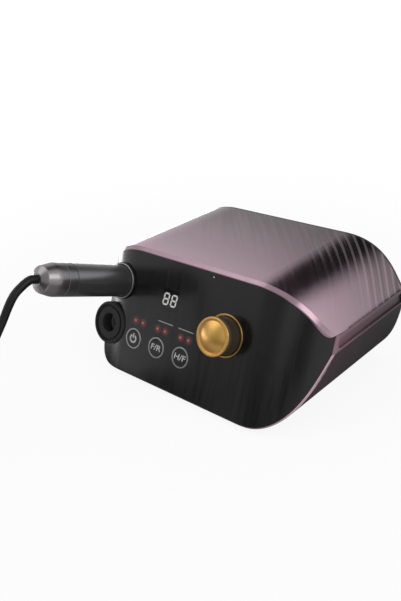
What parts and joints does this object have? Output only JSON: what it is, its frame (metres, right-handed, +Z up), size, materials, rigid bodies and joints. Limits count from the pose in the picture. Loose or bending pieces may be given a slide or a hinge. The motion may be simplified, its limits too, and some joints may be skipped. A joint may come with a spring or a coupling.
{
  "type": "nail drill machine",
  "caption": "Desktop nail drill control unit: formed metal housing, tilted gloss front with speed knob, keys and display, handpiece standing in its holder, cord and plug.",
  "frame": {"origin": "on the table, under the middle of the housing's footprint, between the four feet", "axes": "+Z up; -Y out of the tilted front; +X towards the speed knob's end"},
  "size_m": [0.2679, 0.3244, 0.1008],
  "materials": {
    "black_plastic": "black moulded",
    "board_green": "green laminate",
    "brass_metal": "plain brass",
    "bright_chrome": "bright plated",
    "bright_steel": "turned steel",
    "copper_metal": "enamelled copper wire",
    "cord_black": "soft black jacket",
    "core_iron": "stacked iron sheets",
    "dark_lens": "smoked gloss window",
    "foot_rubber": "soft black",
    "gloss_black": "gloss black",
    "gold_metal": "gold anodised, bright",
    "grey_plastic": "dark grey moulded",
    "grip_metal": "black anodised",
    "mauve_metal": "darker mauve anodised, satin",
    "rail_plastic": "mauve grey, satin",
    "red_lens": "clear red",
    "rose_metal": "rose brown anodised, satin",
    "socket_black": "black, turned rings",
    "white_plastic": "white display body",
    "zinc_steel": "plain zinc plated"
  },
  "bodies": {
    "housing": {"upper_shell": "rose_metal", "lower_shell": "mauve_metal", "side_rail_right": "rail_plastic", "side_rail_left": "rail_plastic", "front_panel": "gloss_black", "display_lens": "dark_lens", "rear_cover": "grey_plastic", "rubber_feet": "foot_rubber", "case_screws": "zinc_steel", "display_module": "white_plastic", "indicator_lamps": "red_lens", "control_board": "board_green", "board_spacers": "brass_metal", "key_rings": "bright_chrome", "key_switches": "black_plastic", "speed_control": "zinc_steel", "control_nut": "zinc_steel", "knob_bezel": "gold_metal", "socket_housing": "socket_black", "socket_insert": "black_plastic", "socket_contacts": "brass_metal", "holder_sleeve": "black_plastic", "holder_ring": "bright_chrome", "cord_coil": "cord_black", "plug_grip": "black_plastic", "plug_barrel": "bright_chrome", "switch_frame": "black_plastic", "mains_inlet": "black_plastic", "inlet_pins": "brass_metal", "pedal_jack": "black_plastic", "jack_nut": "bright_chrome", "main_board": "board_green", "board_standoffs": "brass_metal", "transformer_core": "core_iron", "transformer_winding": "copper_metal", "board_capacitors": "black_plastic", "heat_sink": "grip_metal"},
    "knob": {"knob_body": "black_plastic", "knob_cap": "gold_metal", "control_shaft": "bright_steel"},
    "power_key": {"power_key": "gloss_black"},
    "direction_key": {"direction_key": "gloss_black"},
    "pedal_key": {"pedal_key": "gloss_black"},
    "rocker": {"switch_rocker": "gloss_black"},
    "handpiece": {"grip_body": "grip_metal", "trim_ring": "bright_chrome", "tail_cap": "grip_metal", "cord_relief": "cord_black", "nose_cone": "bright_steel", "motor_case": "zinc_steel", "front_bearing": "bright_steel", "rear_bearing": "bright_steel", "handpiece_cord": "cord_black"},
    "lock_ring": {"lock_ring": "rose_metal"},
    "spindle": {"collet": "bright_steel", "spindle": "bright_steel", "rotor": "copper_metal"}
  },
  "joints": [
    {"name": "knob_turn", "type": "hinge", "parent": "housing", "child": "knob", "pos_m": [0.035, -0.05204, 0.05316], "axis": [0, -0.9323, 0.3616], "range_deg": [-140, 140]},
    {"name": "power_key_press", "type": "slide", "parent": "housing", "child": "power_key", "axis": [0, 0.9323, -0.3616], "range_m": [0, 0.0008], "stiffness_N_per_m": 400, "springref_m": -0.0012},
    {"name": "direction_key_press", "type": "slide", "parent": "housing", "child": "direction_key", "axis": [0, 0.9323, -0.3616], "range_m": [0, 0.0008], "stiffness_N_per_m": 400, "springref_m": -0.0012},
    {"name": "pedal_key_press", "type": "slide", "parent": "housing", "child": "pedal_key", "axis": [0, 0.9323, -0.3616], "range_m": [0, 0.0008], "stiffness_N_per_m": 400, "springref_m": -0.0012},
    {"name": "rocker_tilt", "type": "hinge", "parent": "housing", "child": "rocker", "pos_m": [0.058, 0.0715, 0.046], "axis": [-1, 0, 0], "range_deg": [0, 18]},
    {"name": "handpiece_slide", "type": "slide", "parent": "housing", "child": "handpiece", "axis": [0, -0.9323, 0.3616], "range_m": [0, 0.12]},
    {"name": "lock_ring_turn", "type": "hinge", "parent": "handpiece", "child": "lock_ring", "pos_m": [-0.0674, -0.01027, 0.05025], "axis": [0, -0.9323, 0.3616], "range_deg": [0, 45]},
    {"name": "spindle_spin", "type": "hinge", "parent": "handpiece", "child": "spindle", "pos_m": [-0.0674, 0.01677, 0.03977], "axis": [0, -0.9323, 0.3616], "continuous": true}
  ]
}
